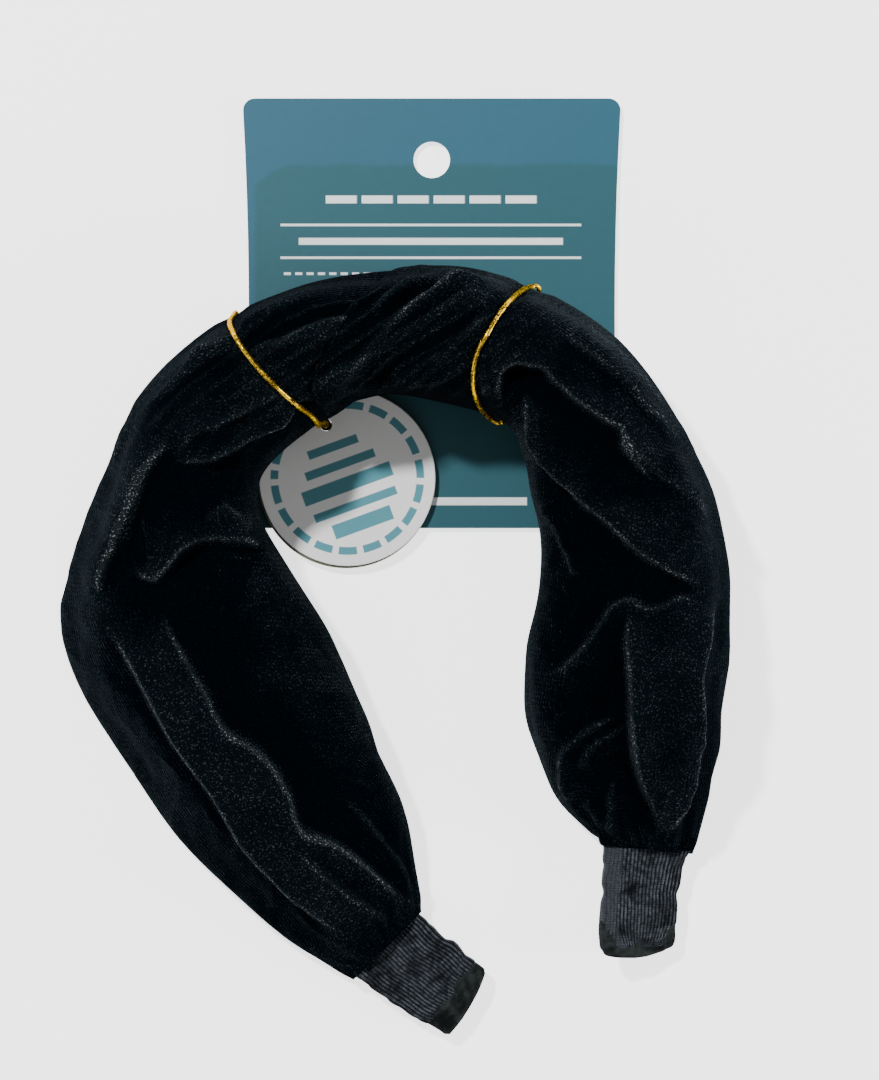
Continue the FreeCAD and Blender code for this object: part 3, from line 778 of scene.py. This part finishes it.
def box_mask(m, x, y, centre, size, turn=0.0, soft=0.00012):
    """1 inside a rectangle on the card or tag, 0 outside. Sizes in millimetres."""
    cosine, sine = math.cos(math.radians(turn)), math.sin(math.radians(turn))
    dx = m.math("SUBTRACT", x, centre[0] * MM)
    dy = m.math("SUBTRACT", y, centre[1] * MM)
    along = m.math("ADD", m.math("MULTIPLY", dx, cosine), m.math("MULTIPLY", dy, sine))
    over = m.math("SUBTRACT", m.math("MULTIPLY", dy, cosine), m.math("MULTIPLY", dx, sine))
    ends = m.math("SUBTRACT", size[0] / 2 * MM, m.math("ABSOLUTE", along))
    sides = m.math("SUBTRACT", size[1] / 2 * MM, m.math("ABSOLUTE", over))
    return m.step(m.math("MINIMUM", ends, sides), -soft, soft)


def bars(m, x, y, rows):
    """Plain bars: centre, size and turn of each."""
    marks = None
    for centre, size, turn in rows:
        bar = box_mask(m, x, y, centre, size, turn)
        marks = bar if marks is None else m.math("MAXIMUM", marks, bar)
    return marks


def dashes(m, mask, along, pitch, share):
    """Keeps a mask only on evenly spaced dashes."""
    place = m.math("FRACT", m.math("DIVIDE", along, pitch * MM))
    return m.math("MULTIPLY", mask, m.step(m.math("SUBTRACT", share, place), -0.03, 0.03))


def card_material():
    """Two blue-greens divided by a soft brushed edge, with plain bars where the print was."""
    m = Material("card_print", Roughness=0.5, Specular_IOR_Level=0.35)
    place = m.place()
    x, y, _ = m.parts(place)
    wobble = m.math("MULTIPLY_ADD", m.noise(place, 60, 4.0, 0.6), 0.003, -0.0015)
    near = m.math("MAXIMUM", m.math("SUBTRACT", -0.0235, x), 0.0)
    shoulder = m.math("MULTIPLY", m.math("POWER", near, 2.0), 75.0)
    edge = m.math("ADD", m.math("SUBTRACT", 0.0880, shoulder), wobble)
    inside = m.math("MINIMUM", m.math("SUBTRACT", edge, y), m.math("SUBTRACT", x, -0.0315))
    dark = m.step(inside, -0.0005, 0.0009)
    paper = m.noise(place, 500, 3.0)
    light_teal = m.mix(paper, CARD_LIGHT, [1.12 * c for c in CARD_LIGHT])
    deep_teal = m.mix(paper, CARD_DEEP, [1.12 * c for c in CARD_DEEP])
    colour = m.mix(dark, light_teal, deep_teal)
    caption = dashes(m, box_mask(m, x, y, (7.7, 80.2), (47.0, 1.7)), x, 7.9, 0.86)
    heading = bars(m, x, y, [((7.3, 74.6), (66, 0.5), 0), ((7.3, 67.4), (66, 0.5), 0)])
    rows = bars(m, x, y, [((7.3, 71.0), (58, 1.5), 0), ((17.9, 13.9), (21, 1.7), 0)])
    rule = dashes(m, box_mask(m, x, y, (-10.0, 63.9), (30.0, 0.55)), x, 2.5, 0.62)
    marks = m.math("MAXIMUM", m.math("MAXIMUM", caption, heading), m.math("MAXIMUM", rows, rule))
    m.link(m.mix(marks, colour, (0.80, 0.84, 0.85, 1)), "Base Color")
    m.link(m.bump(paper, 0.00004, 0.4), "Normal")
    return m.material


def tag_material():
    """White card stock with tilted plain bars and a ring of dashes in blue-green."""
    m = Material("tag_print", Roughness=0.42, Specular_IOR_Level=0.45)
    place = m.place()
    x, y, _ = m.parts(place)
    paper = m.noise(place, 400, 3.0)
    white = m.mix(paper, (0.89, 0.89, 0.885, 1), (0.94, 0.94, 0.935, 1))
    rows = bars(m, x, y, TAG_BARS)
    dx = m.math("SUBTRACT", x, TAG_MIDDLE[0] * MM)
    dy = m.math("SUBTRACT", y, TAG_MIDDLE[1] * MM)
    far = m.math("SQRT", m.math("ADD", m.math("MULTIPLY", dx, dx), m.math("MULTIPLY", dy, dy)))
    off_ring = m.math("ABSOLUTE", m.math("SUBTRACT", far, TAG_RING * MM))
    ring = m.step(m.math("SUBTRACT", 0.00085, off_ring), -0.0001, 0.0001)
    turn = m.math("MULTIPLY", m.math("ARCTAN2", dy, dx), TAG_RING * MM)
    ring = dashes(m, ring, turn, 5.4, 0.74)
    marks = m.math("MAXIMUM", rows, ring)
    m.link(m.mix(marks, white, (0.075, 0.27, 0.33, 1)), "Base Color")
    m.link(m.bump(paper, 0.00003, 0.3), "Normal")
    return m.material


def board_material():
    m = Material("tag_board", Roughness=0.8)
    fibre = m.noise(m.place(), 1200, 4.0)
    m.link(m.mix(fibre, (0.09, 0.09, 0.06, 1), (0.20, 0.20, 0.145, 1)), "Base Color")
    m.link(m.bump(fibre, 0.00008, 0.6), "Normal")
    return m.material


def plastic_material():
    m = Material("core_plastic", Roughness=0.5)
    fine = m.noise(m.place(), 700, 3.0)
    m.link(m.mix(fine, (0.004, 0.004, 0.005, 1), (0.010, 0.010, 0.011, 1)), "Base Color")
    m.link(m.bump(fine, 0.00005, 0.4), "Normal")
    return m.material


def metal_material():
    m = Material("barb_metal", Metallic=1.0, Roughness=0.35)
    fine = m.noise(m.place(), 1800, 3.0)
    m.link(m.mix(fine, (0.45, 0.45, 0.46, 1), (0.72, 0.72, 0.73, 1)), "Base Color")
    m.link(m.bump(fine, 0.00004, 0.5), "Normal")
    return m.material


def floor_material():
    m = Material("pale_floor", Roughness=0.9, Specular_IOR_Level=0.1)
    m.shader.inputs["Emission Color"].default_value = (1.0, 1.0, 1.0, 1)
    m.shader.inputs["Emission Strength"].default_value = 2.0
    fine = m.noise(m.place(), 30, 2.0)
    m.link(m.mix(fine, (0.90, 0.90, 0.90, 1), (0.92, 0.92, 0.92, 1)), "Base Color")
    return m.material


# ---------------------------------------------------------------- pieces


def give(piece, material, body, slot, *nodes):
    piece.data.materials.clear()
    piece.data.materials.append(material)
    if body:
        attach(piece, body)
    if nodes:
        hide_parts(*nodes)


def strip_tube(
    name, tab, span, thickness, count, columns, relief, wider=0.0, bulge=0.0, narrow=1.0, plain=0.0
):
    """A closed flattened tube along an end tab.

    span picks a stretch of the tab, and relief gives the height of its surface from the share
    of that stretch, the turn round the tube and the place across it. bulge rounds off the end,
    from the share narrow on the tube's sides curve in, and plain is the width of the strip
    without ribs along one side.
    """
    even = resample(tab, 200)
    pick = np.linspace(span[0] * 199, span[1] * 199, count)
    rows = np.stack([np.interp(pick, np.arange(200), even[:, k]) for k in range(6)], axis=1)
    middle = 0.5 * (rows[:, :3] + rows[:, 3:])
    wide = 0.5 * (rows[:, :3] - rows[:, 3:])
    half = np.linalg.norm(wide, axis=1)
    wide /= half[:, None]
    ahead = np.gradient(middle, axis=0)
    ahead /= np.linalg.norm(ahead, axis=1, keepdims=True)
    face = np.cross(ahead, wide)
    face *= np.sign(face[:, 2:3])
    curve = np.clip((np.linspace(0, 1, count) - narrow) / max(1 - narrow, 0.01), 0, 1)
    half = (half + wider) * np.sqrt(1 - 0.9 * curve**2)
    turn = np.linspace(0, 2 * math.pi, columns, endpoint=False)
    # Powers well below 1 turn the round section into a flat strip with soft edges.
    flat = np.sign(np.cos(turn)) * np.abs(np.cos(turn)) ** 0.32
    thick = np.sign(np.sin(turn)) * np.abs(np.sin(turn)) ** 0.45
    across = half[:, None] * flat[None, :]
    share = np.linspace(0, 1, count)[:, None]
    points = (
        middle[:, None, :]
        + wide[:, None, :] * across[..., None]
        + face[:, None, :] * (0.5 * thickness * thick[None, :] * np.ones((count, 1)))[..., None]
        + ahead[:, None, :] * (bulge * smooth(0.3, 1.0, share) * (1 - flat[None, :] ** 2))[..., None]
    )
    points = points + normals(points) * relief(share, turn[None, :], across)[..., None]
    points[..., 2] = np.maximum(points[..., 2], 0.3)
    over = np.concatenate([across.mean(axis=0), across.mean(axis=0)[:1]])
    along = np.concatenate([[0], np.cumsum(np.linalg.norm(np.diff(middle, axis=0), axis=1))])
    strip = smooth(-0.5, 0.5, across - half[:, None] + plain * (1.15 - 0.55 * share))
    return tube_mesh(name, points, over, along, strip * (plain > 0))


def make_tab(side, tab, seed, sleeve_span, narrow, tip_span, tip_thickness, bulge, plain):
    """The finished end of an arm: the ribbed sleeve, its folded tip and the velvet's hem.

    The spans say which share of the tab the sleeve and the tip cover. narrow, bulge and plain
    are as in strip_tube.
    """
    body = f"{side}_arm"

    def ribs(share, turn, across):
        sway = 0.12 * np.sin(9 * share + seed) + 0.1 * waves(14 * share + 0 * turn, across, 6, seed)
        rib = 0.30 * np.abs(np.sin(math.pi * (across + sway) / RIB_PITCH)) ** 0.6
        dents = -0.35 * np.exp(-(((share - 0.52) / 0.05) ** 2))
        dents = dents - 0.25 * np.exp(-(((share - 0.3) / 0.04) ** 2))
        crinkle = 0.16 * waves(24 * share + 0 * turn, across, 4, seed + 1)
        close = -0.9 * smooth(0.93, 1.0, share)
        return (rib + dents + crinkle) * (1 - smooth(0.9, 1.0, share)) + close

    sleeve = strip_tube(
        f"{side}_sleeve", tab, sleeve_span, SLEEVE_THICKNESS, *SLEEVE_GRID, ribs,
        wider=0.1, narrow=narrow, plain=plain,
    )
    give(sleeve, MATERIALS["knit"], body, "ribbed_knit", f"{side}_ribbed_sleeve")

    def soft(share, turn, across):
        mouth = -0.5 * (1 - smooth(0, 0.2, share))
        end = -0.8 * smooth(0.8, 1.0, share) ** 2
        crumple = 0.22 * waves(7 * share + 0 * turn, across, 6, seed + 2)
        return mouth + end + crumple

    fold = strip_tube(
        f"{side}_tip", tab, tip_span, tip_thickness, *TIP_GRID, soft, wider=0.35, bulge=bulge
    )
    give(fold, MATERIALS["binding"], body, "binding", f"{side}_tip_fold")

    def hem(share, turn, across):
        roll = 0.7 * np.sin(math.pi * share) ** 0.6 - 0.6
        return roll + 0.16 * np.sin(21 * turn + 3 * share)

    band = strip_tube(f"{side}_hem", tab, HEM_SPAN, HEM_THICKNESS, *HEM_GRID, hem, wider=0.9)
    give(band, MATERIALS["velvet"], body, "velvet", f"{side}_gathered_hem")


def drop_on(trees, x, y):
    """The height of the highest surface above a place on the floor plan, in millimetres."""
    best = 0.0
    for tree in trees:
        hit = tree.ray_cast(Vector((x * MM, y * MM, 0.2)), Vector((0, 0, -1)))
        if hit[0] is not None:
            best = max(best, hit[0].z / MM)
    return best


def beside(trees, place, away, height):
    """Where a cord rests against the wall at a height, coming in from the side it faces."""
    stand_off = 30
    start = Vector((*(np.array(place) + stand_off * away), height)) * MM
    reach = 60.0
    for tree in trees:
        hit = tree.ray_cast(start, Vector((-away[0], -away[1], 0)))
        if hit[0] is not None:
            reach = min(reach, hit[3] / MM)
    out = stand_off - reach + ELASTIC_LIFT
    return place[0] + out * away[0], place[1] + out * away[1]


def make_loop(name, plan, holes, trees, node):
    """A taut round cord over the velvet from one hole of the card to the other."""
    upper, lower = holes
    over = resample(plan, 40)
    # Taut: it rests on the high places and spans the hollows between them.
    hull = np.array([drop_on(trees, x, y) for x, y in over])
    for _ in range(12):
        hull[1:-1] = np.maximum(hull[1:-1], 0.5 * (hull[:-2] + hull[2:]))
    z = np.maximum(hull, 6) + ELASTIC_LIFT
    body = [(x, y, h) for (x, y), h in zip(over, z)]
    away = over[0] - np.array(MIDDLE_OF_HOOP)
    away /= np.linalg.norm(away)
    # Out of the outer hole and up the outer wall.
    start = [(upper[0], upper[1], 1.0), (upper[0] + away[0], upper[1] + away[1], 1.9)]
    for height in np.linspace(3.0, max(z[1] - 2.5, 4.0), 4):
        start.append((*beside(trees, over[0], away, height), height))
    # Down the inner wall and into the inner hole.
    inward = np.array(MIDDLE_OF_HOOP) - over[-1]
    inward /= np.linalg.norm(inward)
    finish = []
    for height in np.linspace(z[-2] - 3.5, 7.0, 4):
        finish.append((*beside(trees, over[-1], inward, height), height))
    finish += [
        (lower[0] - 0.5, lower[1] + 0.5, 5.2),
        (lower[0] - 0.3, lower[1] + 0.3, 3.4),
        (lower[0], lower[1], 1.0),
    ]
    route = resample(start + body[1:-1] + finish, 260)
    ahead = np.gradient(route, axis=0)
    ahead /= np.linalg.norm(ahead, axis=1, keepdims=True)
    side_way = np.cross(ahead, np.array([0.3, 0.2, 1.0]))
    side_way /= np.linalg.norm(side_way, axis=1, keepdims=True)
    third = np.cross(ahead, side_way)
    columns = 24
    turn = np.linspace(0, 2 * math.pi, columns, endpoint=False)
    far = np.concatenate([[0], np.cumsum(np.linalg.norm(np.diff(route, axis=0), axis=1))])
    # Three strands wound round it, and a thick, tied end at its inner end.
    twist = far[:, None] * (2 * math.pi / 1.5)
    radius = ELASTIC_RADIUS * (0.88 + 0.14 * np.abs(np.sin(1.5 * turn[None, :] + twist)))
    radius *= 1 + 1.15 * smooth(far[-1] - 2.2, far[-1] - 1.8, far)[:, None]
    points = (
        route[:, None, :]
        + side_way[:, None, :] * (radius * np.cos(turn))[..., None]
        + third[:, None, :] * (radius * np.sin(turn))[..., None]
    )
    around_mm = np.linspace(0, 2 * math.pi * ELASTIC_RADIUS, columns + 1)
    piece = tube_mesh(name, points, around_mm, far)
    give(piece, MATERIALS["gold"], "crown", "gold_elastic", node)
    return piece


def make_tag():
    """The two plies of the round tag, with softened rims and the punched hole."""
    low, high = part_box("tag_front_ply")
    base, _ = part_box("tag_back_ply")
    centre = 0.5 * (np.array(low) + np.array(high)) / MM
    radius = 0.5 * (high[0] - low[0]) / MM
    hole = np.array(TAG_HOLE)
    soft = 0.14
    count = 180
    turn = np.linspace(0, 2 * math.pi, count, endpoint=False)
    level = centre[:2]
    askew = level + TAG_SLIP
    for name, node, bottom, top, middle, material, slot in (
        ("tag_back", "tag_back_ply", base[2] / MM, low[2] / MM, askew, "board", "tag_board"),
        ("tag_front", "tag_front_ply", low[2] / MM, high[2] / MM, level, "tag", "tag_print"),
    ):
        rings = []
        for size, at, grow in ((radius, middle, 1), (TAG_HOLE_RADIUS, hole, -1)):
            edge = []
            for z, step in ((bottom, -soft), (bottom + soft, 0), (top - soft, 0), (top, -soft)):
                far = size + grow * step
                ring = [at[0] + far * np.cos(turn), at[1] + far * np.sin(turn), 0 * turn + z]
                edge.append(np.stack(ring, axis=1))
            rings.append(edge)
        outer, inner = rings
        loops = [inner[0], *outer, inner[3], inner[2], inner[1]]
        verts = np.concatenate(loops) * MM
        faces = []
        for a in range(len(loops)):
            b = (a + 1) % len(loops)
            for j in range(count):
                k = (j + 1) % count
                faces.append((a * count + j, a * count + k, b * count + k, b * count + j))
        mesh = bpy.data.meshes.new(name)
        mesh.from_pydata(verts.tolist(), [], faces)
        mesh.update()
        piece = bpy.data.objects.new(name, mesh)
        bpy.context.scene.collection.objects.link(piece)
        give(piece, MATERIALS[material], "tag", slot, node)


def tree_of(piece):
    verts = [vert.co.copy() for vert in piece.data.vertices]
    return BVHTree.FromPolygons(verts, [tuple(face.vertices) for face in piece.data.polygons])


def make_stage():
    bpy.ops.mesh.primitive_plane_add(size=6, location=(0, 0, 0))
    floor = bpy.context.object
    floor.name = "floor"
    floor.data.materials.append(floor_material())


def make_camera():
    data = bpy.data.cameras.new("camera")
    data.sensor_fit = "VERTICAL"
    data.angle = 2 * math.atan(0.5 * VIEW_HEIGHT / CAMERA_AT[2])
    data.clip_end = 20
    camera = bpy.data.objects.new("camera", data)
    camera.location = Vector(CAMERA_AT) * MM
    bpy.context.scene.collection.objects.link(camera)
    bpy.context.scene.camera = camera


def make_light(name, at, power, size, colour=(1, 1, 1)):
    data = bpy.data.lights.new(name, "AREA")
    data.energy = power
    data.size = size
    data.color = colour
    light = bpy.data.objects.new(name, data)
    light.location = at
    light.rotation_euler = (-Vector(at)).to_track_quat("-Z", "Y").to_euler()
    bpy.context.scene.collection.objects.link(light)


def make_lights():
    world = bpy.data.worlds.new("studio")
    world.use_nodes = True
    world.node_tree.nodes["Background"].inputs[0].default_value = (1.0, 1.0, 1.0, 1)
    world.node_tree.nodes["Background"].inputs[1].default_value = 0.3
    bpy.context.scene.world = world
    make_light("key", (-0.5, 0.6, 1.0), 21, 0.09)
    make_light("left_rim", (-1.1, -0.35, 0.35), 3, 0.5)
    make_light("right_rim", (1.1, -0.05, 0.35), 15, 0.5)
    make_light("front_rim", (0.1, -1.1, 0.4), 3, 0.5)


def dress_cad():
    """Finishes for the CAD pieces that stay as they are."""
    card = card_material()
    plastic = plastic_material()
    metal = metal_material()
    for node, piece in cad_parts.items():
        if node == "header_card":
            material = card
        elif node.startswith("core"):
            material = plastic
        elif node.endswith("barb"):
            material = metal
        else:
            continue
        for slot in piece.material_slots:
            slot.material = material


# ---------------------------------------------------------------- the whole set

MATERIALS = {
    "velvet": velvet_material(),
    "knit": knit_material(),
    "binding": binding_material(),
    "gold": gold_material(),
    "board": board_material(),
    "tag": tag_material(),
}

make_camera()
left = velvet_panel(
    "velvet_left_panel",
    begin=HOOP_AT[LEFT_END],
    end=HOOP_AT[TWIST] + 6,
    slant=-6,
    folds=LEFT_FOLDS,
    seed=11,
    closing_of=tucked_end,
    lines=lambda x, y, side: math.pi * side / 3.6,
    spread=42,
    twist=under_twist,
)
right = velvet_panel(
    "velvet_right_panel",
    begin=HOOP_AT[RIGHT_END],
    end=HOOP_AT[TWIST] - 14,
    slant=-12,
    folds=RIGHT_FOLDS,
    seed=23,
    closing_of=rolled_end,
    lines=lambda x, y, side: math.pi * (0.84 * y - 0.54 * x) / 3.4,
    spread=25,
    twist=over_twist,
)
trees = [tree_of(left), tree_of(right)]
give(left, MATERIALS["velvet"], None, "velvet", "velvet_left_arm")
give(right, MATERIALS["velvet"], None, "velvet", "velvet_right_arm", "velvet_twist")
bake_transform(left)
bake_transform(right)
make_tab(
    "left",
    LEFT_TAB,
    seed=3,
    sleeve_span=(0.0, 0.90),
    narrow=1.0,
    tip_span=(0.78, 1.0),
    tip_thickness=3.9,
    bulge=1.0,
    plain=0.0,
)
make_tab(
    "right",
    RIGHT_TAB,
    seed=5,
    sleeve_span=(0.0, 1.0),
    narrow=0.70,
    tip_span=(0.66, 1.0),
    tip_thickness=3.1,
    bulge=1.2,
    plain=3.6,
)
make_loop("left_gold_loop", LEFT_LOOP, LEFT_HOLES, trees, "left_elastic_loop")
make_loop("right_gold_loop", RIGHT_LOOP, RIGHT_HOLES, trees, "right_elastic_loop")
make_tag()
make_stage()
make_lights()
dress_cad()
